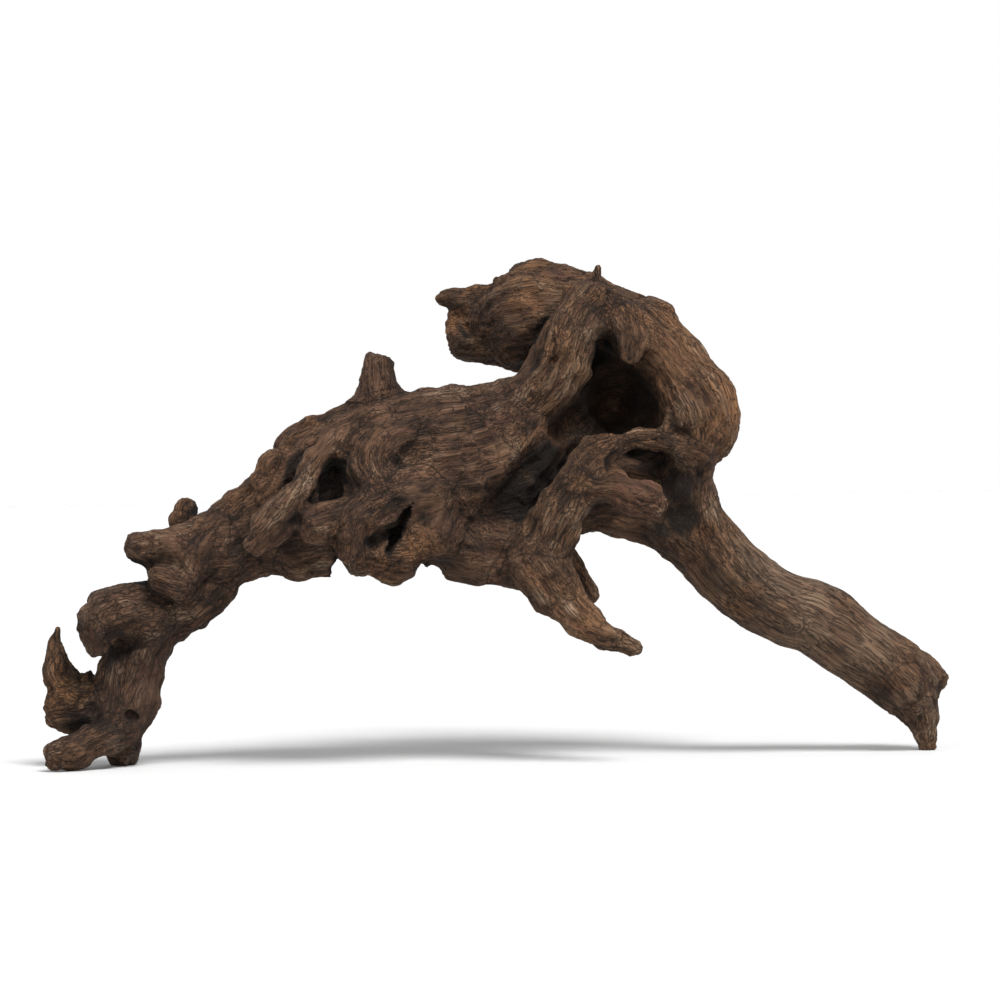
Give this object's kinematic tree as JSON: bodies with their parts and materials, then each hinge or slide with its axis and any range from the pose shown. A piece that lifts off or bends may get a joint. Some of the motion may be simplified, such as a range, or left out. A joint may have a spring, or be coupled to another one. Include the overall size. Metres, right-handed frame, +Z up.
{
  "type": "aquarium driftwood",
  "caption": "Gnarled brown root that stands like a bridge on two legs, with a hollow shoulder, a hooked root and a knobbly burl, used as a shelter and perch in a fish tank",
  "frame": {"origin": "on the floor, under the middle of the whole piece", "axes": "+X points from the left foot to the right leg's tip, +Z up, and the front with the hooked root and the burl faces -Y"},
  "size_m": [0.3654, 0.0993, 0.2008],
  "materials": {
    "heel_twig": "matte",
    "left_leg": "matte",
    "upright_peg": "matte",
    "broken_limb": "matte",
    "right_leg": "matte",
    "spur_root": "matte",
    "thumb_root": "matte",
    "shoulder": "matte",
    "trunk": "matte"
  },
  "bodies": {
    "root": {"heel_twig": "heel_twig", "left_leg": "left_leg", "upright_peg": "upright_peg", "broken_limb": "broken_limb", "right_leg": "right_leg", "spur_root": "spur_root", "thumb_root": "thumb_root", "shoulder": "shoulder", "trunk": "trunk"}
  },
  "joints": []
}
